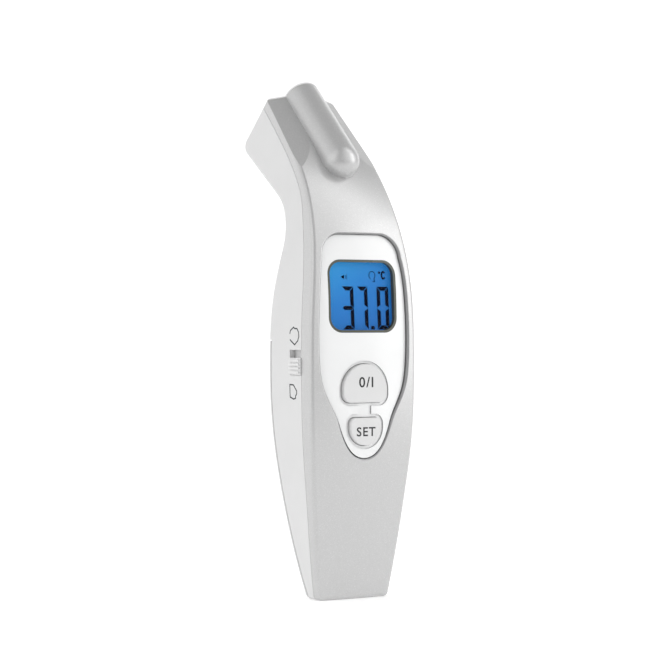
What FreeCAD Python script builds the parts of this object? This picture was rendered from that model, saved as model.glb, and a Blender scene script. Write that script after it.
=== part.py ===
import FreeCAD, Part
import math
import os

V = FreeCAD.Vector

# ---------------------------------------------------------------- driving dimensions (mm)
# Frame: origin at the middle of the base end, +Z up the handle, -Y the front, +X to its side.
WALL = 1.8                 # shell wall
CROWN_R = 120.0            # lateral crown of the front face
HEAD_TILT = 43.1           # head axis above the horizontal, degrees
END_Y = 28.15              # end plane of the shells, on the middle line of the head
END_Z = 158.3
RING_T = 0.8               # end ring beyond that plane
RING_LINE = 0.2            # width and depth of the line between ring and shells
NECK_R = 15.0              # hollow of the neck, at the back
HEAD_CORNER_R = 3.4
BASE_CORNER_R = 2.5
FRONT_EDGE_R = 1.3
BACK_EDGE_R = 1.6
BARREL_R = 6.0             # half-round ridge over the sensor tube
BARREL_WALL = 1.6
BARREL_RISE = 1.0          # its axis above the head's middle line
BARREL_LENGTH = 32.0
WING_SLOPE = 0.24          # fall of the flat wings beside the ridge
WING_EDGE_X = 12.3
WING_EDGE_RISE = -0.6
WING_BACK_FALL = 0.0095

# Panel, window and buttons
PANEL_RECESS = 1.3         # panel surface below the shell
PANEL_BACK = 2.6           # panel's back face below the shell's surface
PANEL_GAP = 0.25
PANEL_FLANGE = 0.8
OPENING_EDGE_R = 0.5        # soft edge of the shell round the panel
WINDOW_X = 11.75           # half width of the display opening
WINDOW_Z = (83.9, 105.0)
WINDOW_R = 3.9
BEZEL_T = 0.75
DISPLAY_TILT = 4.2         # display stack leans back with the front face
DISPLAY_FRONT_Y = -7.0
BUTTON_RISE = 0.9          # caps above the panel
BUTTON_GAP = 0.18
GROOVE_DEPTH = 0.5        # figure-of-eight recess round the buttons
KEY_TRAVEL = 0.5
POWER_Z = 65.4
SET_Z = 53.8

# Board and keys
BOARD_X = 13.5
BOARD_Y = (-2.4, -1.2)     # front and back faces of the main board
BOARD_Z = (44.5, 112.0)
KEY_BASE_H = 3.0
KEY_PIN_R = 1.7
BOARD_SCREWS = [(-11.8, 51.0), (11.8, 51.0), (-11.8, 78.5), (11.8, 78.5)]

# Mode switch on the left cheek
KNOB_Y = (-3.65, 3.05)
KNOB_Z = (70.1, 75.35)
KNOB_TRAVEL = 2.3
RIB_PITCH = 1.2

# Cells and door
CELL_R = 5.25
CELL_BODY = 43.7
CELL_TIP = 0.8
CELL_X = 5.65
BAY_TILT = 6.6             # cells lean back with the handle
BAY_FOOT = (3.0, 23.0)     # (y, z) of the bay's lower end, on the cells' plane
BAY_LENGTH = 48.6
SPRING_L = 3.0
SPRING_R = 2.6
SPRING_WIRE_R = 0.3
SPRING_TURNS = 3.6
DOOR_TOP = 80.5
DOOR_WRAP = 1.8            # door edge in front of the back surface
DOOR_GAP = 0.35
TAB_X = 1.5                # tongue that slips behind the rear shell
TAB_Y = 13.3
TAB_FOOT_Z = 75.5
GRIP_X = 6.0               # thumb grooves at the foot of the door
GRIP_Z = 12.0
GRIP_PITCH = 2.0
GRIP_WIDTH = 0.9
GRIP_DEPTH = 0.4
GRIP_COUNT = 5
PARTING_GAP = 0.15

# Sensor train, stations along the head axis from the shells' end plane
HORN_R = 4.1
HORN_L = 12.0
CAN_R = 4.05
CAN_L = 4.1
SEAL_STATION = -2.4

SHELL_SCREWS = [(0.0, 14.0), (0.0, 117.5)]

# Lines of the casing. Each is smooth, from the base upwards.
FRONT_LINE = [(-3.9, -6), (-7.7, 25), (-10.3, 49), (-11.0, 67), (-10.9, 85), (-9.8, 103),
              (-6.8, 115.4), (-1.1, 127.5), (7.6, 139.3), (17.1, 149.6), (26.7, 159.9), (36.1, 170.3)]
BACK_LINE = [(2.9, -6), (8.3, 13), (12.5, 31), (15.1, 49), (16.3, 63), (16.4, 80), (14.9, 97),
             (12.3, 108), (9.3, 120), (6.7, 132)]
UNDER_LINE = [(-19.2, 101.0), (9.8, 120.5), (35.6, 137.8), (60.8, 155.0)]
HALF_WIDTH = [(11.5, -6), (14.8, 13), (17.0, 32), (18.7, 50), (19.3, 72), (19.0, 90),
              (17.3, 109), (15.3, 127), (13.7, 145), (12.6, 157), (12.1, 172)]
PARTING_LINE = [(-0.6, 0), (-3.0, 31), (-3.8, 61), (-3.8, 85), (-2.7, 105), (0.3, 118.4), (2.5, 125.2),
                (6.4, 131.4), (17.7, 143.8), (31.5, 156.4), (44.0, 167.8)]
TONGUE = [(0.0, 44.0), (3.8, 45.2), (6.6, 48.3), (8.8, 53.0), (10.4, 57.4), (12.6, 61.5), (15.0, 67.0),
          (16.0, 73.0), (16.3, 80.5), (15.9, 93.1), (15.2, 101.3), (14.3, 106.5)]
TONGUE_TOP = (7.0, 113.8)


# ---------------------------------------------------------------- shape helpers
def tilted_placement():
    """Local x, y, z become +X, down through the head, and outwards along the head."""
    angle = FreeCAD.Rotation(V(1, 0, 0), HEAD_TILT - 90.0)
    return FreeCAD.Placement(V(0, END_Y, END_Z), angle)


def in_head(shape):
    moved = shape.copy()
    moved.Placement = tilted_placement().multiply(moved.Placement)
    return moved


def smooth(points):
    curve = Part.BSplineCurve()
    curve.interpolate(points)
    return curve


def shifted(line, distance):
    """The line's points moved sideways, to the left of its direction in (y, z)."""
    curve = smooth([V(0, y, z) for y, z in line])
    moved = []
    for y, z in line:
        along = curve.tangent(curve.parameter(V(0, y, z)))[0]
        step = distance(z) if callable(distance) else distance
        moved.append((y - step * along.z, z + step * along.y))
    return moved


def prism_x(edges_points, half=40.0):
    """A solid swept along X from a closed (y, z) outline: splines and straight runs."""
    edges = []
    for run in edges_points:
        points = [V(-half, y, z) for y, z in run]
        if len(points) == 2:
            edges.append(Part.LineSegment(points[0], points[1]).toShape())
        else:
            edges.append(smooth(points).toShape())
    return Part.Face(Part.Wire(edges)).extrude(V(2 * half, 0, 0))


def outline_prism(inset):
    """The front outline of the casing, swept along Y."""
    right = [V(w - inset, -60, z) for w, z in HALF_WIDTH]
    left = [V(-p.x, p.y, p.z) for p in right]
    edges = [smooth(right).toShape(), Part.LineSegment(right[-1], left[-1]).toShape(),
             smooth(left).toShape(), Part.LineSegment(left[0], right[0]).toShape()]
    return Part.Face(Part.Wire(edges)).extrude(V(0, 140, 0))


def behind_front(inset, line=None):
    """Everything behind the crowned front surface, set back by inset."""
    points = shifted(line or FRONT_LINE, -inset)
    spine = smooth([V(0, y, z) for y, z in points])
    start = spine.value(spine.FirstParameter)
    along = spine.tangent(spine.FirstParameter)[0]
    inward = V(0, along.z, -along.y)
    radius = CROWN_R - inset
    half = 26.0
    drop = radius - math.sqrt(radius * radius - half * half)
    left = start + V(-half, 0, 0) + inward * drop
    right = start + V(half, 0, 0) + inward * drop
    deep_left = left + inward * 45.0
    deep_right = right + inward * 45.0
    edges = [Part.Arc(left, start, right).toShape(),
             Part.LineSegment(right, deep_right).toShape(),
             Part.LineSegment(deep_right, deep_left).toShape(),
             Part.LineSegment(deep_left, left).toShape()]
    return Part.Wire([spine.toShape()]).makePipeShell([Part.Wire(edges)], True, False)


def handle_side(inset):
    """Side view of the casing: the handle joined to the head, with the hollow of the neck rounded."""
    back = shifted(BACK_LINE, inset)
    under = shifted(UNDER_LINE, inset)
    handle = prism_x([back, [back[-1], (-45.0, 150.0)], [(-45.0, 150.0), (-45.0, -6.0)],
                      [(-45.0, -6.0), back[0]]])
    head = prism_x([[under[0], under[-1]], [under[-1], (60.0, 230.0)], [(60.0, 230.0), (-20.0, 230.0)],
                    [(-20.0, 230.0), under[0]]])
    side = handle.fuse(head).removeSplitter()
    return side


def mid(edge):
    return edge.valueAt((edge.FirstParameter + edge.LastParameter) / 2.0)


def block(low, high):
    return Part.makeBox(high[0] - low[0], high[1] - low[1], high[2] - low[2], V(*low))


def round_x_edge(shape, radius, near):
    """Round the edge that runs along X nearest to a (y, z) point."""
    def distance(edge):
        point = mid(edge)
        return math.hypot(point.y - near[0], point.z - near[1])
    across = [e for e in shape.Edges if abs(e.tangentAt(e.FirstParameter).x) > 0.99]
    return shape.makeFillet(radius, [min(across, key=distance)])


def casing(inset, end):
    """The closed outer form of casing and end ring, set back by inset, ending at head station end."""
    side = handle_side(inset)
    side = round_x_edge(side, NECK_R + inset, (8.6, 121.5))
    side = side.common(block((-50, -60, inset), (50, 90, 200)))
    beyond = in_head(block((-60, -60, end), (60, 60, 90)))
    side = side.cut(beyond).removeSplitter()
    side = round_x_edge(side, HEAD_CORNER_R - inset, (43.0 - inset, 144.5))
    side = round_x_edge(side, BASE_CORNER_R - inset, (4.3 - inset, inset))
    return side.common(outline_prism(inset)).common(behind_front(inset)).removeSplitter()


def head_station(point):
    """A point's place in the head frame: x, down through the head, and along it."""
    return tilted_placement().inverse().multVec(point)


def corner_edges(shape, at_front):
    """Edges that run the length of the casing: the two at the front, or those at the back."""
    chosen = []
    for edge in shape.Edges:
        middle = mid(edge)
        on_side = abs(middle.x) > 10.0
        at_end = abs(head_station(middle).z - RING_T) < 0.05
        is_front = middle.y < -3.0 and edge.Length > 100.0
        at_base = middle.z < 2.0 and not is_front
        if on_side and not at_end and not at_base and is_front == at_front:
            chosen.append(edge)
    return chosen


def wing_cut(side, inset):
    """What lies above the flat facet beside the ridge, on one side."""
    rise = WING_EDGE_RISE + WING_SLOPE * WING_EDGE_X - inset
    corners = []
    for x, s in ((0.0, -70.0), (30.0, -70.0), (30.0, 20.0), (0.0, 20.0)):
        corners.append(V(side * x, -(rise - WING_SLOPE * x + WING_BACK_FALL * s), s))
    facet = Part.Face(Part.makePolygon(corners + [corners[0]]))
    return in_head(facet.extrude(V(0, -40, 0)))


def barrel(inset, end):
    """The round ridge on the head: a tube form with a ball end."""
    radius = BARREL_R - inset
    tube = Part.makeCylinder(radius, BARREL_LENGTH + end, V(0, -BARREL_RISE, -BARREL_LENGTH))
    ball = Part.makeSphere(radius, V(0, -BARREL_RISE, -BARREL_LENGTH))
    return in_head(tube.fuse(ball).removeSplitter())


def outer_form():
    """The outside of the whole casing: crowned front, rounded edges, flat wings and ridge."""
    form = casing(0.0, RING_T)
    form = form.makeFillet(BACK_EDGE_R, corner_edges(form, False))
    form = form.makeFillet(FRONT_EDGE_R, corner_edges(form, True))
    form = form.cut(wing_cut(1, 0.0)).cut(wing_cut(-1, 0.0))
    return form.fuse(barrel(0.0, RING_T)).removeSplitter()


def set_back_form(inset, barrel_inset, end):
    """The casing's form without its soft edges, set back by inset."""
    form = casing(inset, end)
    form = form.cut(wing_cut(1, inset)).cut(wing_cut(-1, inset))
    return form.fuse(barrel(barrel_inset, end)).removeSplitter()


def inner_form():
    """The hollow of the casing, open at the end ring, with the sensor tube's bore."""
    return set_back_form(WALL, BARREL_WALL, 0.0)


# ---------------------------------------------------------------- front outlines, all in the XZ plane
def flat_wire(edges):
    return Part.Face(Part.Wire(Part.__sortEdges__(edges)))


def straight(a, b):
    return Part.LineSegment(V(a[0], 0, a[1]), V(b[0], 0, b[1])).toShape()


def arc(a, b, c):
    return Part.Arc(V(a[0], 0, a[1]), V(b[0], 0, b[1]), V(c[0], 0, c[1])).toShape()


def through(face, y0=-30.0, y1=0.0):
    """A front outline swept along Y between two depths."""
    moved = face.copy()
    moved.translate(V(0, y0, 0))
    return moved.extrude(V(0, y1 - y0, 0))


def tongue(grow=0.0):
    """Outline of the face panel: pointed below, broad above, with rounded top corners."""
    right = [V(x, 0, z) for x, z in TONGUE]
    curve = smooth([V(-p.x, 0, p.z) for p in reversed(right[1:])] + right)
    side = []
    for point in right:
        along = curve.tangent(curve.parameter(point))[0]
        side.append(V(point.x + grow * along.z, 0, point.z - grow * along.x))
    side[0] = V(0, 0, right[0].z - grow)
    mirrored = [V(-p.x, 0, p.z) for p in reversed(side[1:])]
    end = (side[-1].x, side[-1].z)
    top_x, top_z = TONGUE_TOP[0], TONGUE_TOP[1] + grow
    bend = (top_x + (end[0] - top_x) * 0.707, end[1] + (top_z - end[1]) * 0.707)
    edges = [smooth(mirrored + side).toShape(),
             arc(end, bend, (top_x, top_z)),
             straight((top_x, top_z), (-top_x, top_z)),
             arc((-top_x, top_z), (-bend[0], bend[1]), (-end[0], end[1]))]
    return flat_wire(edges)


def rounded_box(half_x, z0, z1, r):
    k = r * (1.0 - 0.70711)
    edges = [straight((-half_x + r, z0), (half_x - r, z0)), straight((-half_x + r, z1), (half_x - r, z1)),
             straight((-half_x, z0 + r), (-half_x, z1 - r)), straight((half_x, z0 + r), (half_x, z1 - r))]
    for sx in (-1, 1):
        edges.append(arc((sx * (half_x - r), z0), (sx * (half_x - k), z0 + k), (sx * half_x, z0 + r)))
        edges.append(arc((sx * (half_x - r), z1), (sx * (half_x - k), z1 - k), (sx * half_x, z1 - r)))
    return flat_wire(edges)


def window(grow=0.0):
    return rounded_box(WINDOW_X + grow, WINDOW_Z[0] - grow, WINDOW_Z[1] + grow, WINDOW_R + grow)


def key_outline(middle_z, radius, corner_x, flat_z, way):
    """A half disc with a flat side that has rounded corners. way is 1 for domed above."""
    side_z = middle_z - way * 0.8
    corner_z = middle_z - way * flat_z
    bend = (radius - 0.28 * (radius - corner_x), corner_z + way * 0.28 * (flat_z - 0.8))
    edges = [arc((-radius, side_z), (0.0, middle_z + way * radius), (radius, side_z)),
             arc((radius, side_z), bend, (corner_x, corner_z)),
             straight((corner_x, corner_z), (-corner_x, corner_z)),
             arc((-corner_x, corner_z), (-bend[0], bend[1]), (-radius, side_z))]
    return flat_wire(edges)


def power_outline(grow=0.0):
    return key_outline(POWER_Z, 8.05 + grow, 5.5, 4.0 + grow, 1)


def set_outline(grow=0.0):
    return key_outline(SET_Z, 5.7 + grow, 4.0, 3.0 + grow, -1)


def panel_depth(z):
    """The panel is flush at its lower tip and recessed from the power button up."""
    if z < 40.0:
        return 0.0
    if z < 60.0:
        return -0.35
    return -PANEL_RECESS


def panel_line():
    return shifted(FRONT_LINE, panel_depth)


def in_display(shape):
    """Local x, y into the body, z up the display, from the display window's middle."""
    moved = shape.copy()
    middle = 0.5 * (WINDOW_Z[0] + WINDOW_Z[1])
    place = FreeCAD.Placement(V(0, DISPLAY_FRONT_Y, middle), FreeCAD.Rotation(V(1, 0, 0), -DISPLAY_TILT))
    moved.Placement = place.multiply(moved.Placement)
    return moved


def in_bay(shape):
    """Local x, y towards the door, z up the cells."""
    moved = shape.copy()
    place = FreeCAD.Placement(V(0, BAY_FOOT[0], BAY_FOOT[1]), FreeCAD.Rotation(V(1, 0, 0), -BAY_TILT))
    moved.Placement = place.multiply(moved.Placement)
    return moved


def rod_y(x, z, r, y0, y1):
    return Part.makeCylinder(r, y1 - y0, V(x, y0, z), V(0, 1, 0))


def disc_s(r, s0, s1, x=0.0, down=-BARREL_RISE):
    """A round piece on the sensor axis, between two stations of the head."""
    return Part.makeCylinder(r, s1 - s0, V(x, down, s0))


# ---------------------------------------------------------------- casing pieces
def front_region(gap):
    line = shifted(PARTING_LINE, gap)
    return prism_x([line, [line[-1], (-60.0, line[-1][1])], [(-60.0, line[-1][1]), (-60.0, -8.0)],
                    [(-60.0, -8.0), (line[0][0], -8.0)], [(line[0][0], -8.0), line[0]]])


def door_region(gap):
    line = shifted(BACK_LINE, DOOR_WRAP + gap)
    strip = prism_x([line, [line[-1], (60.0, line[-1][1])], [(60.0, line[-1][1]), (60.0, line[0][1])],
                     [(60.0, line[0][1]), line[0]]])
    return strip.common(block((-50, -50, -10), (50, 60, DOOR_TOP + gap)))


def beyond_end():
    return in_head(block((-60, -60, 0), (60, 60, 60)))


def opening_edges(shell):
    """Edges of the panel opening on the crowned front surface."""
    surface = behind_front(0.0)
    chosen = []
    for edge in shell.Edges:
        if edge.Degenerated:
            continue
        middle = mid(edge)
        inside = abs(middle.x) < TONGUE[8][0] + 0.5 and TONGUE[0][1] - 1.0 < middle.z < TONGUE_TOP[1] + 1.0
        if inside and middle.y < -5.0:
            gap = min(face.distToShape(Part.Vertex(middle))[0] for face in surface.Faces)
            if gap < 0.02:
                chosen.append(edge)
    return chosen


def front_shell(outer, inner):
    shell = outer.common(front_region(0.0)).cut(beyond_end()).cut(inner)
    shell = shell.cut(through(tongue()))
    shell = shell.makeFillet(OPENING_EDGE_R, opening_edges(shell))
    behind = behind_front(WALL - 0.3)
    for x, z in BOARD_SCREWS[:2]:
        shell = shell.fuse(rod_y(x, z, 2.0, -14.0, BOARD_Y[0]).common(behind))
        shell = shell.cut(rod_y(x, z, 0.78, BOARD_Y[0] - 4.0, 5.0))
    ends = (1.9, 4.0)
    for (x, z), end in zip(SHELL_SCREWS, ends):
        shell = shell.fuse(rod_y(x, z, 2.3, -14.0, end).common(behind))
        shell = shell.cut(rod_y(x, z, 0.98, end - 5.0, 6.0))
    return shell


def rear_shell(outer, inner):
    shell = outer.cut(front_region(-PARTING_GAP)).cut(beyond_end()).cut(inner)
    shell = shell.cut(door_region(DOOR_GAP))
    x, z = SHELL_SCREWS[1]
    boss = rod_y(x, z, 3.0, 4.1, 14.0).common(outer)
    shell = shell.fuse(boss)
    shell = shell.cut(rod_y(x, z, 2.3, 6.6, 20.0)).cut(rod_y(x, z, 1.15, 3.0, 8.0))
    slot = block((-25.0, -4.6, KNOB_Z[0] - 0.15), (-16.0, KNOB_Y[1] + 0.15, KNOB_Z[1] + KNOB_TRAVEL + 0.15))
    return shell.cut(slot)


def end_ring(outer):
    """The ring that closes the sensor end, with a fine shadow line where it meets the shells."""
    line = in_head(block((-60, -60, 0), (60, 60, RING_LINE))).cut(set_back_form(RING_LINE, RING_LINE, RING_T))
    ring = outer.common(beyond_end()).cut(line)
    mouth = Part.makeCone(3.9, 4.7, RING_T, V(0, -BARREL_RISE, 0))
    return ring.cut(in_head(mouth))


def battery_door(outer, inner):
    door = outer.common(door_region(0.0)).cut(inner)
    shelf = block((-TAB_X, TAB_Y, TAB_FOOT_Z), (TAB_X, TAB_Y + 1.8, DOOR_TOP - 0.6))
    tab = block((-TAB_X, TAB_Y, TAB_FOOT_Z), (TAB_X, TAB_Y + 0.9, DOOR_TOP + 2.8))
    door = door.fuse(shelf).fuse(tab)
    skin = casing(GRIP_DEPTH, 0.0)
    for step in range(GRIP_COUNT):
        z = GRIP_Z + GRIP_PITCH * step
        door = door.cut(block((-GRIP_X, 2.0, z), (GRIP_X, 30.0, z + GRIP_WIDTH)).cut(skin))
    return door.removeSplitter()


# ---------------------------------------------------------------- panel, window and buttons
def face_panel():
    """Glossy panel with a flange behind the shell, two screw posts and the figure-of-eight recess."""
    back = behind_front(PANEL_BACK)
    plate = through(tongue(-PANEL_GAP)).common(behind_front(0.0, panel_line())).cut(back)
    flange = through(tongue(PANEL_FLANGE)).common(behind_front(WALL + 0.05)).cut(back)
    floor = behind_front(GROOVE_DEPTH, panel_line())
    neck = through(rounded_box(2.4, 57.0, 62.0, 0.8))
    recess = through(power_outline(1.0)).fuse([through(set_outline(1.1)), neck]).removeSplitter().cut(floor)
    openings = [through(power_outline(BUTTON_GAP)), through(set_outline(BUTTON_GAP))]
    openings.append(through(window(BEZEL_T + 0.05)))
    openings.append(in_display(block((-15.2, 0.0, -13.7), (15.2, 8.0, 13.9))))
    panel = plate.fuse(flange).cut(openings + [recess])
    posts = []
    for x, z in BOARD_SCREWS[2:]:
        post = rod_y(x, z, 1.8, -12.0, BOARD_Y[0]).common(behind_front(PANEL_BACK - 0.3))
        posts.append(post.cut(rod_y(x, z, 0.78, BOARD_Y[0] - 4.0, 5.0)))
    return panel.fuse(posts)


def window_bezel():
    ring = through(window(BEZEL_T)).cut(through(window()))
    ring = ring.common(behind_front(0.1, panel_line()))
    return ring.cut(in_display(block((-20, -0.02, -20), (20, 20, 20))))


def display_lens():
    pane = through(window(-0.06))
    return pane.common(in_display(block((-20, -0.75, -20), (20, -0.05, 20))))


def display_gasket():
    outer = block((-13.3, 0.02, -12.3), (13.3, 0.26, 12.3))
    return in_display(outer.cut(block((-12.7, -1, -11.7), (12.7, 1, 11.7))))


def key_cap(outline, flange_y, back_y, top):
    """A button: crowned cap with a soft edge, a retaining flange and a stem."""
    surface = behind_front(-BUTTON_RISE, panel_line())
    cap = through(outline(), -30.0, back_y).common(surface)
    rim = [e for e in cap.Edges if mid(e).y < flange_y - 1.0 and abs(e.tangentAt(e.FirstParameter).y) < 0.9]
    cap = cap.makeFillet(0.45, rim)
    flange = through(outline(0.9), flange_y, back_y)
    stem = rod_y(0.0, top, 1.5, back_y - 0.2, BOARD_Y[0] - KEY_BASE_H - KEY_TRAVEL - 0.05)
    return cap.fuse(flange).fuse(stem).removeSplitter()


def key_base(z):
    front = BOARD_Y[0] - KEY_BASE_H
    body = block((-3.0, front, z - 3.0), (3.0, BOARD_Y[0], z + 3.0))
    return body.cut(rod_y(0.0, z, KEY_PIN_R + 0.08, front - 1.0, front + 1.5))


def key_pin(z):
    front = BOARD_Y[0] - KEY_BASE_H
    return rod_y(0.0, z, KEY_PIN_R, front - KEY_TRAVEL, front + 0.8)


# ---------------------------------------------------------------- display and board
def lcd_glass():
    return in_display(block((-13.3, 0.3, -12.3), (13.3, 1.9, 12.3)))


def lcd_backlight():
    return in_display(block((-12.8, 2.0, -10.1), (12.8, 3.3, 12.0)))


def contact_strip():
    strip = in_display(block((-12.0, 1.95, -12.1), (12.0, 8.0, -10.4)))
    return strip.cut(block((-20, BOARD_Y[0], 60), (20, 20, 120)))


def lcd_frame():
    frame = block((-14.3, 0.05, -13.4), (14.3, 8.0, 13.4)).cut(block((-13.4, -1, -12.4), (13.4, 9, 12.4)))
    return in_display(frame).cut(block((-20, BOARD_Y[0], 60), (20, 20, 120)))


def main_board():
    board = through(rounded_box(BOARD_X, BOARD_Z[0], BOARD_Z[1], 2.0), BOARD_Y[0], BOARD_Y[1])
    for x, z in BOARD_SCREWS:
        board = board.cut(rod_y(x, z, 1.1, -6.0, 2.0))
    return board


def screw(x, z, head_y, head_r, shank_r, length):
    """A pan-head screw driven from the back, with a cross slot."""
    body = rod_y(x, z, head_r, head_y, head_y + 1.0).fuse(rod_y(x, z, shank_r, head_y - length, head_y))
    for half_x, half_z in ((0.9, 0.2), (0.2, 0.9)):
        body = body.cut(block((x - half_x, head_y + 0.5, z - half_z), (x + half_x, head_y + 2.0, z + half_z)))
    return body.removeSplitter()


def board_screws():
    return Part.makeCompound([screw(x, z, BOARD_Y[1], 1.55, 0.75, 4.5) for x, z in BOARD_SCREWS])


def shell_screws():
    heads = (3.25, 6.65)
    return Part.makeCompound([screw(x, z, y, 2.0, 0.95, 5.8) for (x, z), y in zip(SHELL_SCREWS, heads)])


def board_chips():
    """Controller, memory, regulator and crystal on the back of the board."""
    y0 = BOARD_Y[1]
    chips = [block((-9.0, y0, 84.0), (-2.0, y0 + 1.1, 91.0)), block((2.0, y0, 84.5), (6.0, y0 + 1.2, 89.5)),
             block((-8.0, y0, 96.0), (-5.0, y0 + 1.0, 98.0)), block((-9.5, y0, 101.0), (-5.5, y0 + 1.4, 103.0))]
    return Part.makeCompound(chips)


def buzzer():
    body = rod_y(5.5, 98.5, 6.0, BOARD_Y[1], BOARD_Y[1] + 3.2)
    return body.cut(rod_y(5.5, 98.5, 0.9, BOARD_Y[1] + 2.2, BOARD_Y[1] + 4.0))


# ---------------------------------------------------------------- mode switch
def mode_knob():
    plate = block((-19.65, KNOB_Y[0], KNOB_Z[0]), (-17.2, KNOB_Y[1], KNOB_Z[1]))
    flange = block((-17.3, -3.5, KNOB_Z[0] - KNOB_TRAVEL - 0.4), (-16.7, 4.0, KNOB_Z[1] + KNOB_TRAVEL + 0.4))
    fork = block((-16.9, -1.6, 70.6), (-14.6, 1.8, 74.6)).cut(block((-17.5, -0.75, 71.3), (-14.0, 0.95, 73.9)))
    knob = plate.fuse(flange).fuse(fork)
    for step in range(4):
        z = KNOB_Z[0] + 0.45 + RIB_PITCH * step
        knob = knob.fuse(block((-20.15, KNOB_Y[0] + 0.3, z), (-19.5, KNOB_Y[1] - 0.3, z + 0.65)))
    return knob.removeSplitter()


def mode_switch():
    body = block((-13.4, BOARD_Y[1], 69.3), (-9.6, 1.8, 76.7))
    return body.cut(block((-14.0, -0.85, 71.1), (-10.4, 1.05, 76.3)))


def mode_slider():
    return block((-16.5, -0.7, 71.35), (-10.6, 0.9, 73.85))


# ---------------------------------------------------------------- cells and contacts
def battery_tray():
    """A tray for the two cells, screwed to the front shell at its foot."""
    tray = block((-12.2, -6.1, -1.6), (12.2, 1.5, BAY_LENGTH + 1.4))
    tray = in_bay(tray.cut(block((-11.1, -5.35, 0.0), (11.1, 5.0, BAY_LENGTH))))
    foot = block((-4.0, 2.0, 10.5), (4.0, 3.2, 23.0))
    keep = in_bay(block((-20, -20, -40), (20, 20, -0.8)))
    x, z = SHELL_SCREWS[0]
    return tray.fuse(foot.common(keep)).cut(rod_y(x, z, 1.1, -5.0, 8.0)).removeSplitter()


def cell(tip_up):
    """One AAA cell, as long as its body and tip, standing at local zero."""
    body = Part.makeCylinder(CELL_R, CELL_BODY, V(0, 0, 0 if tip_up else CELL_TIP))
    tip = Part.makeCylinder(1.9, CELL_TIP, V(0, 0, CELL_BODY if tip_up else 0))
    return body.fuse(tip)


def placed_cell(tip_up):
    piece = cell(tip_up)
    piece.translate(V(-CELL_X if tip_up else CELL_X, 0, 0.4 + SPRING_L + 0.05 if tip_up else 0.4))
    return in_bay(piece)


def coil(x, z):
    """A battery spring: round wire along a helix."""
    rise = SPRING_L - 2.0 * SPRING_WIRE_R
    steps = int(SPRING_TURNS * 10)
    path = []
    for step in range(steps + 1):
        angle = 2.0 * math.pi * SPRING_TURNS * step / steps
        path.append(V(SPRING_R * math.cos(angle), SPRING_R * math.sin(angle), rise * step / steps))
    line = smooth(path)
    section = Part.makeCircle(SPRING_WIRE_R, path[0], line.tangent(line.FirstParameter)[0])
    spring = Part.Wire([line.toShape()]).makePipeShell([Part.Wire([section])], True, False)
    spring.translate(V(x, 0, z + SPRING_WIRE_R))
    return in_bay(spring)


def battery_springs():
    return Part.makeCompound([coil(-CELL_X, 0.38), coil(CELL_X, BAY_LENGTH - 0.4 - SPRING_L)])


def contact_bridge():
    return in_bay(block((-10.3, -4.5, 0.03), (10.3, 3.5, 0.33)))


def contact_plates():
    top = BAY_LENGTH - 0.03
    plates = [in_bay(block((sx * 6.0 - 4.3, -4.5, top - 0.3), (sx * 6.0 + 4.3, 3.5, top))) for sx in (-1, 1)]
    return Part.makeCompound(plates)


# ---------------------------------------------------------------- sensor train
def collecting_horn():
    body = disc_s(HORN_R, -HORN_L, -0.05)
    bore = Part.makeCone(2.2, 3.75, HORN_L + 0.4, V(0, -BARREL_RISE, -HORN_L - 0.2))
    groove = Part.makeTorus(HORN_R - 0.12, 0.42, V(0, -BARREL_RISE, SEAL_STATION))
    return in_head(body.cut(bore).cut(groove))


def horn_seal():
    return in_head(Part.makeTorus(HORN_R - 0.14, 0.37, V(0, -BARREL_RISE, SEAL_STATION)))


def thermopile_can():
    top = -HORN_L - 0.05
    body = disc_s(CAN_R, top - CAN_L, top).cut(disc_s(2.5, top - 0.5, top + 1.0))
    for x, down in ((-1.8, 0.8), (1.8, 0.8), (-1.8, -2.8), (1.8, -2.8)):
        body = body.fuse(disc_s(0.23, top - CAN_L - 2.8, top - CAN_L + 0.2, x, down))
    return in_head(body)


def sensor_filter():
    top = -HORN_L - 0.05
    return in_head(disc_s(2.45, top - 0.48, top - 0.05))


def sensor_board():
    back = -HORN_L - CAN_L - 2.2
    board = disc_s(4.15, back, back + 1.0).fuse(block((-5.3, 2.3, back), (8.6, 11.0, back + 1.0)))
    for x, down in ((-1.8, 0.8), (1.8, 0.8), (-1.8, -2.8), (1.8, -2.8)):
        board = board.cut(disc_s(0.27, back - 1.0, back + 2.0, x, down))
    return in_head(board.removeSplitter())


def sensor_holder():
    saddle = block((-8.6, 1.9, -HORN_L + 0.8), (8.6, 15.0, -3.6))
    return in_head(saddle.cut(disc_s(HORN_R + 0.03, -20.0, 2.0)))


def sensor_ribbon():
    """Flat cable from the sensor board down to the back of the main board."""
    line = [(-0.95, 105.5), (-0.9, 109.0), (0.6, 114.5), (5.0, 121.5), (12.0, 129.5), (18.3, 136.3)]
    near = shifted(line, 0.12)
    far = list(reversed(shifted(line, -0.12)))
    ribbon = prism_x([near, [near[-1], far[0]], far, [far[-1], near[0]]], 2.4)
    ribbon.translate(V(5.9, 0, 0))
    return ribbon


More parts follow.
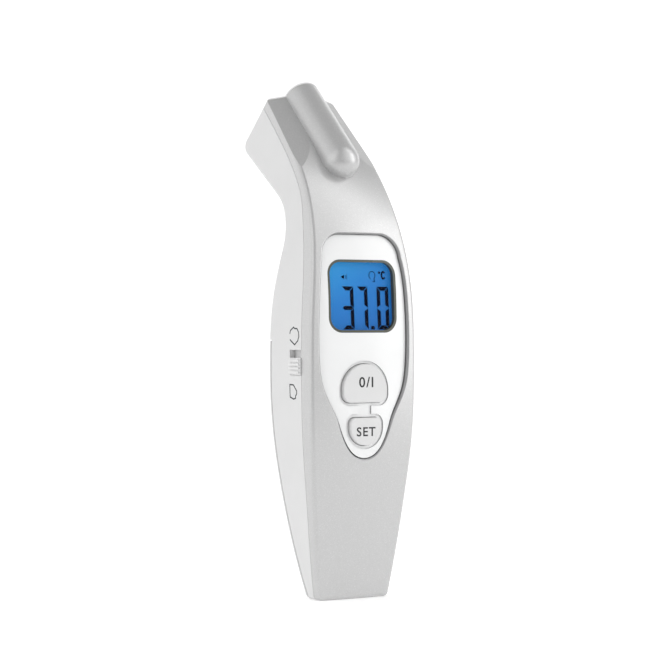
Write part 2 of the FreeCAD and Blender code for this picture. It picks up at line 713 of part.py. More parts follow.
# ---------------------------------------------------------------- writing the files
def all_nodes():
    outer = outer_form()
    inner = inner_form()
    return {
        "front_shell": front_shell(outer, inner),
        "rear_shell": rear_shell(outer, inner),
        "end_ring": end_ring(outer),
        "battery_door": battery_door(outer, inner),
        "face_panel": face_panel(),
        "window_bezel": window_bezel(),
        "display_lens": display_lens(),
        "display_gasket": display_gasket(),
        "lcd_glass": lcd_glass(),
        "lcd_backlight": lcd_backlight(),
        "lcd_frame": lcd_frame(),
        "contact_strip": contact_strip(),
        "main_board": main_board(),
        "board_chips": board_chips(),
        "board_screws": board_screws(),
        "buzzer": buzzer(),
        "power_button": key_cap(power_outline, -7.85, -7.05, POWER_Z),
        "power_key_base": key_base(POWER_Z),
        "power_key_pin": key_pin(POWER_Z),
        "set_button": key_cap(set_outline, -7.4, -6.7, SET_Z),
        "set_key_base": key_base(SET_Z),
        "set_key_pin": key_pin(SET_Z),
        "mode_knob": mode_knob(),
        "mode_switch": mode_switch(),
        "mode_slider": mode_slider(),
        "battery_tray": battery_tray(),
        "cell_left": placed_cell(True),
        "cell_right": placed_cell(False),
        "battery_springs": battery_springs(),
        "contact_bridge": contact_bridge(),
        "contact_plates": contact_plates(),
        "collecting_horn": collecting_horn(),
        "horn_seal": horn_seal(),
        "thermopile_can": thermopile_can(),
        "sensor_filter": sensor_filter(),
        "sensor_board": sensor_board(),
        "sensor_holder": sensor_holder(),
        "sensor_ribbon": sensor_ribbon(),
        "shell_screws": shell_screws(),
    }


def main():
    os.makedirs("parts", exist_ok=True)
    for name, shape in all_nodes().items():
        print(f"{name:18s} valid {shape.isValid()}  solids {len(shape.Solids)}  mm3 {shape.Volume:.1f}")
        shape.exportStep(f"parts/{name}.step")


main()
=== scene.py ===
import math

import bmesh
import bpy
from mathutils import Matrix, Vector
from mathutils.bvhtree import BVHTree


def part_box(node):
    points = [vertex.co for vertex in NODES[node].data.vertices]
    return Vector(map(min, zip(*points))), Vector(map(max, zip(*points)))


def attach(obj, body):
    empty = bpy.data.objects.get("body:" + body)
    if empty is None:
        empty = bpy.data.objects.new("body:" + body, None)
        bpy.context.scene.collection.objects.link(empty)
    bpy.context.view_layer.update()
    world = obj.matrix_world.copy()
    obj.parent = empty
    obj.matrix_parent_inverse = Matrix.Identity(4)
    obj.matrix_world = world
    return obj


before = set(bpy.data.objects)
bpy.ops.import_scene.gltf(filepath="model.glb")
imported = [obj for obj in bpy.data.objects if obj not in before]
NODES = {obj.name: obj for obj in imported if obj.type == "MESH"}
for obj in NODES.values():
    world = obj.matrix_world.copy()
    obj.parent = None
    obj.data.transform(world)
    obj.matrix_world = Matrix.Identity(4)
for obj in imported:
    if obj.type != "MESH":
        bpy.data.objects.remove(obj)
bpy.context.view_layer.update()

MM = 0.001

# ------------------------------------------------------------------ numbers: materials
# Noise scales, and the band that noise values mostly keep to.
DRIFT_SCALE = 60.0
GLOSS_SCALE = 220.0
GRAIN_SCALE = 9000.0
FLAKE_SCALE = 5200.0
NOISE_BAND = (0.3, 0.7)
BUMP_DEPTH = 0.05 * MM

# Painted shade: flat greys for the walls of the panel's opening and of its recess, in place of their shadow,
# and what counts as such a wall.
OPENING_WALL_SHADE = (0.32, 0.32, 0.325)
OPENING_MARGIN = 3.0 * MM
RECESS_WALL_SHADE = (0.34, 0.34, 0.345)
RECESS_FACING = 0.5

# Display glow: how much of it comes from the height and how much from the left.
GLOW_UP = 0.62
GLOW_LEFT = 0.38
GLOW_STRENGTH = 0.50

# ------------------------------------------------------------------ numbers: prints, in mm
INK_HALF = 0.02
FRONT_RAY = (Vector((0, -60, 0)) * MM, Vector((0, 1, 0)))
CHEEK_RAY = (Vector((-60, 0, 0)) * MM, Vector((1, 0, 0)))

# Seven-segment digits as (segments lit, left, right), then the point as (left, right, height).
DIGIT_LOW = 84.1
DIGIT_HIGH = 97.5
DIGITS = [("abgcd", -6.4, -2.1), ("abc", -0.8, 3.1), ("abcdef", 6.5, 10.9)]
POINT = (4.0, 5.3, 1.1)
BAR = 1.3
GAP = 0.13
WAIST_GAP = 0.15
WAIST_MITRE = 0.95
DASH_INSET = 0.1
DASH_MITRE = 0.9
DASH_HALF = 0.64

# Line widths of the small symbols over the digits.
HEAD_LINE = 0.24
LETTER_LINE = 0.58
WAVE_LINE = 0.22

# Key legends as (name, text, size, middle, button).
LEGENDS = [("legend_power", "0/I", 4.5, (0.2, 67.6), "power_button"),
           ("legend_set", "SET", 3.9, (-0.15, 52.3), "set_button")]
LEGEND_STRETCH = 1.05
LEGEND_SPACING = 1.15
LEGEND_WEIGHT = 0.06
LEGEND_WELD = 0.0005

# Cheek symbols as (name, points, middle, whether the line closes).
CHEEK_LINE = 0.42
HEAD = [(2.64, 0.8), (2.4, 1.7), (0.55, 2.7), (-0.2, 2.3), (-1.5, 2.3), (-2.45, 1.2), (-2.7, -0.1),
        (-2.05, -1.5), (-0.25, -2.7), (0.9, -2.1), (2.45, -1.2)]
HOUSE = [(2.0, 2.15), (-0.1, 2.1), (-2.05, 0.3), (-2.05, -0.6), (-1.4, -1.4), (-1.4, -2.0),
         (-0.2, -2.3), (1.85, -1.7)]
CHEEK_SYMBOLS = [("symbol_head", HEAD, (0.5, 82.1), False), ("symbol_house", HOUSE, (1.2, 64.85), True)]

# ------------------------------------------------------------------ numbers: camera, floor and light
# The camera looks level, turned 32 degrees from the object's own front.
CAMERA_AT = Vector((-374.6, -586.1, 85.5)) * MM
TURN = math.radians(32.0)
VIEW = Vector((math.sin(TURN), math.cos(TURN), 0.0))
SIDE = Vector((VIEW.y, -VIEW.x, 0.0))
LENS_MM = 122.7
SENSOR_MM = 36.0
CLIP = (0.01, 20.0)

# Floor and backdrop, in metres along the view, up and to each side.
FLOOR_NEAR = -2.4
BEND_AT = 1.6
BEND_RADIUS = 1.0
BEND_STEPS = 12
BACKDROP_TOP = 2.6
SWEEP_HALF = 3.2
FLOOR_FADE = (-0.90, -0.12)
FLOOR_DIM = 0.45
SWEEP_GLOW = 0.22

# Lamps as (name, place, size in metres, watts).
LAMPS = [("key_right", (0.75, -0.60, 0.30), (0.5, 0.9), 0.9),
         ("fill_left", (-0.80, 0.10, 0.25), (0.6, 0.9), 0.7)]
LAMP_TARGET = Vector((0.0, 0.0, 0.085))

# World light as (degrees round from the front, level) and (degrees up, level).
AROUND = [(-180, 0.36), (-148, 0.56), (-100, 0.36), (-72, 0.58), (-50, 0.28), (-32, 0.18), (0, 0.40),
          (14, 0.53), (32, 0.6), (52, 1.08), (66, 0.5), (84, 0.27), (110, 0.2), (140, 0.28), (180, 0.36)]
OVERHEAD = [(-20, 0.6), (0, 1.0), (50, 1.0), (60, 0.9), (68, 0.6), (76, 0.48), (90, 0.48)]
WORLD_STRENGTH = 2.15


# ------------------------------------------------------------------ node helpers
def fill(tree, node, values):
    """Give a node's inputs, in order, plain values or links."""
    for socket, value in zip(node.inputs, values):
        if isinstance(value, bpy.types.NodeSocket):
            tree.links.new(value, socket)
        else:
            socket.default_value = value


def maths(tree, operation, *values):
    made = tree.nodes.new("ShaderNodeMath")
    made.operation = operation
    fill(tree, made, values)
    return made.outputs[0]


def ramp(tree, factor, stops):
    """Colours at positions along a factor."""
    made = tree.nodes.new("ShaderNodeValToRGB")
    scale = made.color_ramp
    while len(scale.elements) < len(stops):
        scale.elements.new(0.5)
    for element, (position, colour) in zip(scale.elements, stops):
        element.position = position
        element.color = (*colour, 1.0)
    tree.links.new(factor, made.inputs["Fac"])
    return made.outputs["Color"]


def grey(level):
    return (level, level, level)


def tint(colour, factor):
    return tuple(min(1.0, channel * factor) for channel in colour)


class Shader:
    """A new material with its Principled shader and short ways to add nodes."""

    def __init__(self, name, colour, rough, metallic=0.0):
        self.material = bpy.data.materials.new(name)
        self.material.use_nodes = True
        self.tree = self.material.node_tree
        self.bsdf = self.tree.nodes["Principled BSDF"]
        self.set("Base Color", (*colour, 1.0))
        self.set("Roughness", rough)
        self.set("Metallic", metallic)
        self.place = self.node("ShaderNodeTexCoord").outputs["Object"]

    def node(self, kind, **settings):
        made = self.tree.nodes.new(kind)
        for key, value in settings.items():
            setattr(made, key, value)
        return made

    def set(self, socket, value):
        self.bsdf.inputs[socket].default_value = value

    def link(self, output, socket):
        self.tree.links.new(output, socket)

    def drive(self, socket, output):
        """Link an output into the Principled shader."""
        self.link(output, self.bsdf.inputs[socket])

    def coat(self, weight, rough):
        self.set("Coat Weight", weight)
        self.set("Coat Roughness", rough)

    def maths(self, operation, *values):
        return maths(self.tree, operation, *values)

    def vector(self, operation, first, second):
        made = self.node("ShaderNodeVectorMath", operation=operation)
        fill(self.tree, made, (first, second))
        return made.outputs["Value" if operation == "DOT_PRODUCT" else "Vector"]

    def split(self):
        """The X, Y and Z of the place on the object."""
        made = self.node("ShaderNodeSeparateXYZ")
        self.link(self.place, made.inputs["Vector"])
        return made.outputs

    def noise(self, scale, detail=2.0, rough=0.5, stretch=None):
        made = self.node("ShaderNodeTexNoise")
        made.inputs["Scale"].default_value = scale
        made.inputs["Detail"].default_value = detail
        made.inputs["Roughness"].default_value = rough
        source = self.place
        if stretch:
            mapping = self.node("ShaderNodeMapping")
            mapping.inputs["Scale"].default_value = stretch
            self.link(source, mapping.inputs["Vector"])
            source = mapping.outputs["Vector"]
        self.link(source, made.inputs["Vector"])
        return made.outputs["Fac"]

    def ramp(self, factor, stops):
        return ramp(self.tree, factor, stops)

    def mapped(self, value, source, target=(0.0, 1.0), **settings):
        """A value carried over from one span to another."""
        made = self.node("ShaderNodeMapRange", **settings)
        for key, number in zip(("From Min", "From Max", "To Min", "To Max"), (*source, *target)):
            made.inputs[key].default_value = number
        self.link(value, made.inputs["Value"])
        return made.outputs["Result"]

    def spread(self, factor, low, high):
        """Noise spread out over low to high."""
        return self.mapped(factor, NOISE_BAND, (low, high))

    def masked(self, tone, factor, colour):
        """The tone where a factor is 0, a plain colour where it is 1."""
        mix = self.node("ShaderNodeMix", data_type="RGBA")
        self.link(factor, mix.inputs["Factor"])
        self.link(tone, mix.inputs["A"])
        mix.inputs["B"].default_value = (*colour, 1.0)
        return mix.outputs["Result"]

    def opening_shade_walls(self, node):
        """1 on walls that face in towards a node's middle, within its height; these walls get painted shade.
        """
        low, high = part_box(node)
        middle = Vector((0.0, 0.0, 0.5 * (low[2] + high[2])))
        flat = self.vector("MULTIPLY", self.vector("SUBTRACT", self.place, middle), (1.0, 0.0, 1.0))
        outward = self.vector("DOT_PRODUCT", flat, self.node("ShaderNodeNewGeometry").outputs["Normal"])
        facing = self.maths("LESS_THAN", outward, -OPENING_MARGIN)
        height = self.split()["Z"]
        above = self.maths("GREATER_THAN", height, low[2])
        below = self.maths("LESS_THAN", height, high[2])
        return self.maths("MULTIPLY", facing, self.maths("MULTIPLY", above, below))

    def bump(self, height, strength):
        made = self.node("ShaderNodeBump")
        made.inputs["Strength"].default_value = strength
        made.inputs["Distance"].default_value = BUMP_DEPTH
        self.link(height, made.inputs["Height"])
        self.drive("Normal", made.outputs["Normal"])


# ------------------------------------------------------------------ materials
def plastic(name, colour, rough, grain=0.04, coat=0.0):
    """Moulded plastic: fine spark-eroded grain, slight colour and gloss drift."""
    shader = Shader(name, colour, rough)
    drift = shader.noise(DRIFT_SCALE, 3.0)
    shader.drive("Base Color", shader.ramp(drift, [(0.3, tint(colour, 0.985)), (0.7, tint(colour, 1.015))]))
    gloss = shader.noise(GLOSS_SCALE, 4.0)
    shader.drive("Roughness", shader.spread(gloss, rough * 0.9, rough * 1.12))
    shader.bump(shader.noise(GRAIN_SCALE), grain)
    shader.coat(coat, 0.06)
    return shader.material


def silver_paint():
    """Silver lacquer: fine bright flakes under clear coat, with painted shade (a flat dark grey) on the walls
    of the panel's opening.
    """
    shader = Shader("silver_paint", (0.6, 0.6, 0.6), 0.34, 0.45)
    flakes = shader.node("ShaderNodeTexVoronoi", feature="F1")
    flakes.inputs["Scale"].default_value = FLAKE_SCALE
    shader.link(shader.place, flakes.inputs["Vector"])
    parts = shader.node("ShaderNodeSeparateColor")
    shader.link(flakes.outputs["Color"], parts.inputs["Color"])
    tone = shader.ramp(parts.outputs["Red"], [(0.0, grey(0.53)), (0.5, grey(0.55)), (0.93, grey(0.575)),
                                              (1.0, grey(0.64))])
    # Painted shade: the walls of the panel's opening get a flat dark grey in place of their shadow.
    shader.drive("Base Color", shader.masked(tone, shader.opening_shade_walls("face_panel"), OPENING_WALL_SHADE))
    shader.drive("Roughness", shader.spread(parts.outputs["Green"], 0.275, 0.315))
    shader.bump(shader.noise(2600.0, 3.0), 0.010)
    shader.coat(0.5, 0.05)
    return shader.material


def metal(name, colour, rough):
    """Plated or drawn metal with faint lengthwise streaks."""
    shader = Shader(name, colour, rough, 1.0)
    streaks = shader.noise(900.0, 3.0, 0.6, (1.0, 1.0, 12.0))
    shader.drive("Roughness", shader.spread(streaks, rough * 0.75, rough * 1.3))
    shader.drive("Base Color", shader.ramp(streaks, [(0.25, tint(colour, 0.92)), (0.75, tint(colour, 1.05))]))
    shader.bump(streaks, 0.05)
    return shader.material


def rubber(name, colour):
    """Matt rubber with a mottled tone."""
    shader = Shader(name, colour, 0.72)
    mottle = shader.noise(300.0, 4.0)
    shader.drive("Base Color", shader.ramp(mottle, [(0.3, tint(colour, 0.8)), (0.7, tint(colour, 1.3))]))
    shader.bump(shader.noise(7000.0), 0.15)
    return shader.material


def board_green():
    """Solder mask with faint copper tracks under it."""
    shader = Shader("board_green", (0.03, 0.20, 0.09), 0.35)
    tracks = shader.node("ShaderNodeTexBrick")
    tracks.inputs["Scale"].default_value = 420.0
    tracks.inputs["Mortar Size"].default_value = 0.035
    tracks.inputs["Color1"].default_value = (0.02, 0.17, 0.07, 1.0)
    tracks.inputs["Color2"].default_value = (0.025, 0.20, 0.085, 1.0)
    tracks.inputs["Mortar"].default_value = (0.06, 0.34, 0.16, 1.0)
    turn = shader.node("ShaderNodeMapping")
    turn.inputs["Rotation"].default_value = (math.radians(90.0), 0.0, 0.0)
    shader.link(shader.place, turn.inputs["Vector"])
    shader.link(turn.outputs["Vector"], tracks.inputs["Vector"])
    shader.drive("Base Color", tracks.outputs["Color"])
    shader.bump(tracks.outputs["Fac"], 0.2)
    return shader.material


def lcd_blue():
    """Backlit display: brighter at the upper left, deeper blue at the lower right."""
    shader = Shader("lcd_blue", (0.03, 0.20, 0.60), 0.32)
    low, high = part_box("lcd_glass")
    place = shader.split()
    left = shader.maths("MULTIPLY", shader.mapped(place["X"], (high[0], low[0])), GLOW_LEFT)
    corner = shader.maths("MULTIPLY_ADD", shader.mapped(place["Z"], (low[2], high[2])), GLOW_UP, left)
    glow = shader.ramp(corner, [(0.1, (0.012, 0.105, 0.36)), (0.55, (0.018, 0.160, 0.46)),
                                (1.0, (0.030, 0.27, 0.58))])
    shader.drive("Base Color", glow)
    shader.drive("Emission Color", glow)
    shader.set("Emission Strength", GLOW_STRENGTH)
    shader.set("Specular IOR Level", 0.1)
    return shader.material


def panel_white():
    """Glossy white moulding with painted shade: its recess walls and edges are painted grey, so they read as
    thin grey lines.
    """
    shader = Shader("panel_white_gloss", (0.92, 0.925, 0.925), 0.16)
    drift = shader.noise(DRIFT_SCALE, 3.0)
    tone = shader.ramp(drift, [(0.3, (0.845, 0.85, 0.85)), (0.7, (0.87, 0.875, 0.875))])
    normal = shader.node("ShaderNodeNewGeometry").outputs["True Normal"]
    forward = shader.vector("DOT_PRODUCT", normal, (0.0, -1.0, 0.0))
    wall = shader.maths("LESS_THAN", forward, RECESS_FACING)
    # Painted shade: faces turned away from the front take a flat grey in place of their shadow.
    shader.drive("Base Color", shader.masked(tone, wall, RECESS_WALL_SHADE))
    shader.drive("Roughness", shader.spread(shader.noise(GLOSS_SCALE, 4.0), 0.14, 0.18))
    shader.bump(shader.noise(3000.0), 0.012)
    shader.coat(0.5, 0.06)
    return shader.material


def clear_window():
    """Thin clear moulding with a slightly uneven polish."""
    shader = Shader("clear_window", (0.02, 0.03, 0.05), 0.05)
    shader.set("Alpha", 0.05)
    shader.drive("Roughness", shader.spread(shader.noise(40.0), 0.03, 0.08))
    return shader.material


def ink(name, colour, rough=0.5, shine=0.3):
    """Printed or etched ink with a slightly uneven film."""
    shader = Shader(name, colour, rough)
    shader.set("Specular IOR Level", shine)
    film = shader.noise(2500.0)
    shader.drive("Base Color", shader.ramp(film, [(0.3, tint(colour, 0.85)), (0.7, tint(colour, 1.2))]))
    shader.bump(shader.noise(GRAIN_SCALE), 0.05)
    return shader.material


def cell_jacket():
    """Shrink sleeve of a plain cell: dark with a lighter band near one end."""
    dark = (0.05, 0.055, 0.065)
    shader = Shader("cell_jacket", dark, 0.28)
    low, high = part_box("cell_left")
    along = shader.mapped(shader.split()["Z"], (low[2], high[2]))
    shader.drive("Base Color", shader.ramp(along, [(0.0, dark), (0.74, dark), (0.76, (0.55, 0.42, 0.20)),
                                                   (1.0, (0.62, 0.48, 0.24))]))
    shader.bump(shader.noise(3000.0), 0.04)
    return shader.material


# ------------------------------------------------------------------ materials of the CAD nodes
RING_LIGHT = plastic("ring_light_satin", grey(0.84), 0.42, 0.05)
LIGHT_GREY = plastic("light_grey_satin", grey(0.715), 0.45, 0.06)
SHELL_FRONT = silver_paint()
BUTTON_GREY = plastic("button_grey", grey(0.71), 0.42, 0.08)
KNOB_GREY = plastic("knob_grey", grey(0.76), 0.4, 0.08)
BEZEL = plastic("bezel_olive", (0.075, 0.08, 0.06), 0.3, 0.03)
FRAME_WHITE = plastic("frame_white", (0.78, 0.78, 0.75), 0.5)
TRAY_GREY = plastic("tray_grey", (0.62, 0.62, 0.63), 0.5)
BLACK_PLASTIC = plastic("black_plastic", (0.025, 0.025, 0.028), 0.4, 0.08)
BLACK_RUBBER = rubber("black_rubber", grey(0.02))
STRIP = rubber("strip_rubber", (0.16, 0.16, 0.17))
BOARD = board_green()
STEEL = metal("screw_steel", (0.55, 0.55, 0.57), 0.3)
NICKEL = metal("contact_nickel", (0.68, 0.67, 0.63), 0.24)
GOLD = metal("horn_gold", (0.86, 0.62, 0.25), 0.12)
CAN = metal("sensor_can", (0.66, 0.65, 0.62), 0.2)

LOOKS = {
    "front_shell": SHELL_FRONT, "rear_shell": LIGHT_GREY, "end_ring": RING_LIGHT, "battery_door": LIGHT_GREY,
    "face_panel": panel_white(), "window_bezel": BEZEL, "display_lens": clear_window(),
    "display_gasket": BLACK_RUBBER, "lcd_glass": lcd_blue(), "lcd_backlight": FRAME_WHITE,
    "lcd_frame": FRAME_WHITE, "contact_strip": STRIP, "main_board": BOARD, "board_chips": BLACK_PLASTIC,
    "board_screws": STEEL, "buzzer": BLACK_PLASTIC, "power_button": BUTTON_GREY, "power_key_base": STEEL,
    "power_key_pin": BLACK_PLASTIC, "set_button": BUTTON_GREY, "set_key_base": STEEL,
    "set_key_pin": BLACK_PLASTIC, "mode_knob": KNOB_GREY, "mode_switch": STEEL, "mode_slider": BLACK_PLASTIC,
    "battery_tray": TRAY_GREY, "cell_left": cell_jacket(), "cell_right": cell_jacket(),
    "battery_springs": NICKEL, "contact_bridge": NICKEL, "contact_plates": NICKEL, "collecting_horn": GOLD,
    "horn_seal": BLACK_RUBBER, "thermopile_can": CAN,
    "sensor_filter": plastic("filter_dark", (0.03, 0.03, 0.05), 0.1, 0.01, coat=0.6),
    "sensor_board": BOARD, "sensor_holder": BLACK_PLASTIC,
    "sensor_ribbon": plastic("ribbon_amber", (0.55, 0.27, 0.05), 0.3, 0.02), "shell_screws": STEEL,
}

for node_name, material in LOOKS.items():
    target = NODES[node_name]
    if not target.material_slots:
        target.data.materials.append(material)
    for place in target.material_slots:
        place.material = material


# ------------------------------------------------------------------ prints laid on CAD surfaces
def surface_of(node):
    return BVHTree.FromObject(NODES[node], bpy.context.evaluated_depsgraph_get())


def on_surface(tree, across, up, view, lift):
    """The point over (across, up) on a surface seen from the front or from the left cheek."""
    start, along = view
    origin = start.copy()
    origin[0 if along.y else 1] = across
    origin.z = up
    hit, normal, _, _ = tree.ray_cast(origin, along)
    if hit is None:
        raise ValueError(f"nothing under {across:.4f}, {up:.4f}")
    if normal.dot(along) > 0:
        normal.negate()
    return hit + normal * lift


def finish_piece(name, made, body, material):
    mesh = bpy.data.meshes.new(name)
    made.to_mesh(mesh)
    made.free()
    mesh.materials.append(material)
    piece = bpy.data.objects.new(name, mesh)
    bpy.context.scene.collection.objects.link(piece)
    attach(piece, body)


def print_piece(name, outlines, node, body, material, view=FRONT_RAY):
    """Thin ink: closed prisms over 2-D outlines (mm), half above a node's surface and half in it."""
    tree = surface_of(node)
    half = INK_HALF * MM
    made = bmesh.new()
    for outline in outlines:
        top = [made.verts.new(on_surface(tree, a * MM, u * MM, view, half)) for a, u in outline]
        under = [made.verts.new(on_surface(tree, a * MM, u * MM, view, -half)) for a, u in outline]
        made.faces.new(top)
        made.faces.new(list(reversed(under)))
        count = len(outline)
        for index in range(count):
            after = (index + 1) % count
            made.faces.new([top[after], top[index], under[index], under[after]])
    bmesh.ops.recalc_face_normals(made, faces=made.faces)
    finish_piece(name, made, body, material)


def ring(x, y, radius, count, start=0.0, sweep=360.0, rise=None):
    """Points round an ellipse, or round the part of it that sweeps on from a start angle."""
    rise = radius if rise is None else rise
    step = math.radians(sweep) / (count if sweep >= 360.0 else count - 1)
    begin = math.radians(start)
    angles = [begin + step * index for index in range(count)]
    return [(x + radius * math.cos(angle), y + rise * math.sin(angle)) for angle in angles]


def stroke(points, width, closed=False):
    """Outlines that draw one line of even width through the points, one quad a run and a dot a corner."""
    quads = []
    runs = zip(points, points[1:] + points[:1] if closed else points[1:])
    half = width / 2.0
    for (ax, ay), (bx, by) in runs:
        length = math.hypot(bx - ax, by - ay)
        nx, ny = -(by - ay) / length * half, (bx - ax) / length * half
        quads.append([(ax + nx, ay + ny), (ax - nx, ay - ny), (bx - nx, by - ny), (bx + nx, by + ny)])
    return quads + [ring(x, y, half, 8) for x, y in points]


# ------------------------------------------------------------------ display
def segment(letter, x0, x1):
    """One bar of a seven-segment digit, as an outline with mitred ends."""
    z0, z1 = DIGIT_LOW, DIGIT_HIGH
    zm = (z0 + z1) / 2.0
    bars = {
        "a": [(x0 + GAP, z1), (x1 - GAP, z1), (x1 - BAR - GAP, z1 - BAR), (x0 + BAR + GAP, z1 - BAR)],
        "b": [(x1, z1 - GAP), (x1, zm + WAIST_GAP), (x1 - BAR, zm + WAIST_MITRE), (x1 - BAR, z1 - BAR - GAP)],
        "c": [(x1, zm - WAIST_GAP), (x1, z0 + GAP), (x1 - BAR, z0 + BAR + GAP), (x1 - BAR, zm - WAIST_MITRE)],
        "d": [(x0 + BAR + GAP, z0 + BAR), (x1 - BAR - GAP, z0 + BAR), (x1 - GAP, z0), (x0 + GAP, z0)],
        "e": [(x0 + BAR, zm - WAIST_MITRE), (x0 + BAR, z0 + BAR + GAP), (x0, z0 + GAP), (x0, zm - WAIST_GAP)],
        "f": [(x0 + BAR, z1 - BAR - GAP), (x0 + BAR, zm + WAIST_MITRE), (x0, zm + WAIST_GAP), (x0, z1 - GAP)],
        "g": [(x0 + DASH_INSET, zm), (x0 + DASH_MITRE, zm + DASH_HALF), (x1 - DASH_MITRE, zm + DASH_HALF),
              (x1 - DASH_INSET, zm), (x1 - DASH_MITRE, zm - DASH_HALF), (x0 + DASH_MITRE, zm - DASH_HALF)],
    }
    return bars[letter]


def display_print():
    """The digits and their point, then the sound, head and degree symbols over them."""
    lit = [segment(letter, left, right) for letters, left, right in DIGITS for letter in letters]
    left, right, height = POINT
    top = DIGIT_LOW + height
    lit.append([(left, DIGIT_LOW), (right, DIGIT_LOW), (right, top), (left, top)])
    dark = ink("lcd_segment", (0.0008, 0.0025, 0.012), 0.6, 0.02)
    print_piece("lcd_digits", lit, "lcd_glass", "casing", dark)
    speaker = [[(-6.6, 100.4), (-5.3, 101.1), (-5.3, 99.7)]]
    head = stroke(ring(5.05, 101.0, 1.15, 17, -58, 296, 1.25), HEAD_LINE)
    neck = stroke([(5.65, 99.9), (6.05, 99.1), (5.2, 99.1)], HEAD_LINE)
    degree = [ring(7.75, 101.9, 0.42, 10)]
    letter_c = stroke(ring(9.2, 101.1, 0.6, 11, 48, 264, 1.1), LETTER_LINE)
    symbols = speaker + head + neck + degree + letter_c
    print_piece("lcd_symbols", symbols, "lcd_glass", "casing", dark)
    faint = ink("lcd_faint", (0.008, 0.06, 0.22), 0.5, 0.05)
    waves = stroke([(-4.8, 99.95), (-4.8, 100.85)], WAVE_LINE)
    waves += stroke([(-4.35, 99.6), (-4.35, 101.2)], WAVE_LINE)
    print_piece("lcd_waves", waves, "lcd_glass", "casing", faint)


# ------------------------------------------------------------------ key legends and cheek symbols
def legend(name, text, size, at, button, material):
    """Plain sans lettering on a button, as a thin closed solid that follows the cap."""
    curve = bpy.data.curves.new(name, "FONT")
    curve.body = text
    curve.size = size * MM
    curve.align_x = "CENTER"
    curve.align_y = "CENTER"
    curve.extrude = INK_HALF * MM
    curve.offset = LEGEND_WEIGHT * MM
    curve.space_character = LEGEND_SPACING
    curve.resolution_u = 4
    shaped = bpy.data.objects.new(name + "_curve", curve)
    bpy.context.scene.collection.objects.link(shaped)
    bpy.context.view_layer.update()
    mesh = bpy.data.meshes.new_from_object(shaped.evaluated_get(bpy.context.evaluated_depsgraph_get()))
    bpy.data.objects.remove(shaped)
    tree = surface_of(button)
    made = bmesh.new()
    made.from_mesh(mesh)
    bmesh.ops.remove_doubles(made, verts=made.verts, dist=LEGEND_WELD * MM)
    for vertex in made.verts:
        across = at[0] * MM + vertex.co.x * LEGEND_STRETCH
        up = at[1] * MM + vertex.co.y
        vertex.co = on_surface(tree, across, up, FRONT_RAY, vertex.co.z)
    bmesh.ops.recalc_face_normals(made, faces=made.faces)
    bpy.data.meshes.remove(mesh)
    finish_piece(name, made, button, material)


def cheek_symbols():
    """Head outline above the mode switch, house outline below it; both lie on their backs."""
    dark = ink("cheek_ink", (0.03, 0.035, 0.04))
    for name, points, (y, z), closed in CHEEK_SYMBOLS:
        moved = [(y + across, z + up) for across, up in points]
        outlines = stroke(moved, CHEEK_LINE, closed)
        print_piece(name, outlines, "rear_shell", "casing", dark, CHEEK_RAY)


display_print()
LEGEND_INK = ink("legend_grey", (0.03, 0.03, 0.032))
for name, text, size, at, button in LEGENDS:
    legend(name, text, size, at, button, LEGEND_INK)
cheek_symbols()


# ------------------------------------------------------------------ camera, floor, backdrop and light
def place_camera():
    camera = bpy.data.cameras.new("camera")
    camera.lens = LENS_MM
    camera.sensor_width = SENSOR_MM
    camera.clip_start, camera.clip_end = CLIP
    holder = bpy.data.objects.new("camera", camera)
    holder.location = CAMERA_AT
    holder.rotation_euler = VIEW.to_track_quat("-Z", "Y").to_euler()
    bpy.context.scene.collection.objects.link(holder)
    bpy.context.scene.camera = holder


def sweep_white():
    """Matt white, softly dimmed on the floor well in front of the object."""
    shader = Shader("sweep_white", grey(0.93), 0.9)
    along = shader.vector("DOT_PRODUCT", shader.place, VIEW)
    near = shader.mapped(along, FLOOR_FADE, (FLOOR_DIM, 1.0), interpolation_type="SMOOTHSTEP")
    level = shader.node("ShaderNodeCombineColor")
    fill(shader.tree, level, grey(near))
    shader.drive("Base Color", level.outputs["Color"])
    shader.drive("Emission Color", level.outputs["Color"])
    shader.set("Emission Strength", SWEEP_GLOW)
    shader.set("Specular IOR Level", 0.0)
    return shader.material


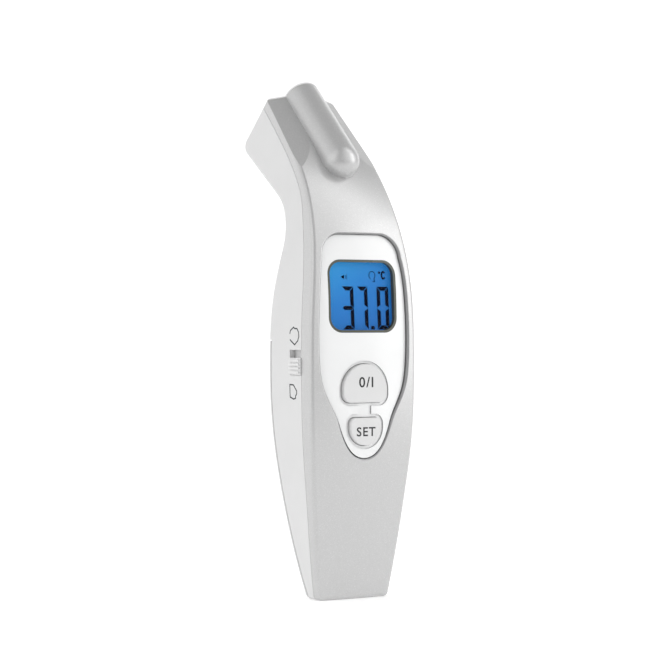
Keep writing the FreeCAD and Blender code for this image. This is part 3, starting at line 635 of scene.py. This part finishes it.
def sweep():
    """A floor that curves up into the backdrop, as in a photographer's cove."""
    profile = [(FLOOR_NEAR, 0.0), (BEND_AT, 0.0)]
    for step in range(1, BEND_STEPS + 1):
        angle = math.radians(90.0 / BEND_STEPS * step)
        profile.append((BEND_AT + BEND_RADIUS * math.sin(angle), BEND_RADIUS - BEND_RADIUS * math.cos(angle)))
    profile.append((BEND_AT + BEND_RADIUS, BACKDROP_TOP))
    made = bmesh.new()
    rows = []
    for along, up in profile:
        places = [VIEW * along + SIDE * side + Vector((0, 0, up)) for side in (-SWEEP_HALF, SWEEP_HALF)]
        rows.append([made.verts.new(place) for place in places])
    for before, after in zip(rows, rows[1:]):
        made.faces.new([before[0], before[1], after[1], after[0]])
    mesh = bpy.data.meshes.new("sweep")
    made.to_mesh(mesh)
    made.free()
    for face in mesh.polygons:
        face.use_smooth = True
    mesh.materials.append(sweep_white())
    floor = bpy.data.objects.new("sweep", mesh)
    bpy.context.scene.collection.objects.link(floor)


def softbox(name, at, size, watts):
    lamp = bpy.data.lights.new(name, "AREA")
    lamp.shape = "RECTANGLE"
    lamp.size, lamp.size_y = size
    lamp.energy = watts
    holder = bpy.data.objects.new(name, lamp)
    holder.location = at
    holder.rotation_euler = (LAMP_TARGET - Vector(at)).to_track_quat("-Z", "Y").to_euler()
    bpy.context.scene.collection.objects.link(holder)


def studio_world():
    """Soft surround: brightest to the right front, dim near the camera's side and overhead."""
    world = bpy.data.worlds.new("studio")
    world.use_nodes = True
    tree = world.node_tree
    place = tree.nodes.new("ShaderNodeSeparateXYZ")
    tree.links.new(tree.nodes.new("ShaderNodeTexCoord").outputs["Generated"], place.inputs["Vector"])
    front = maths(tree, "MULTIPLY", place.outputs["Y"], -1.0)
    turn = maths(tree, "ARCTAN2", place.outputs["X"], front)
    around = maths(tree, "MULTIPLY_ADD", turn, 1.0 / (2.0 * math.pi), 0.5)
    height = maths(tree, "MULTIPLY_ADD", place.outputs["Z"], 0.5, 0.5)
    level = ramp(tree, around, [((azimuth + 180.0) / 360.0, grey(value)) for azimuth, value in AROUND])
    rises = [(0.5 + 0.5 * math.sin(math.radians(up)), grey(value)) for up, value in OVERHEAD]
    fall = ramp(tree, height, rises)
    background = tree.nodes["Background"]
    tree.links.new(maths(tree, "MULTIPLY", level, fall), background.inputs["Color"])
    background.inputs["Strength"].default_value = WORLD_STRENGTH
    bpy.context.scene.world = world


place_camera()
sweep()
for name, at, size, watts in LAMPS:
    softbox(name, at, size, watts)
studio_world()
bpy.context.scene.view_settings.view_transform = "Standard"
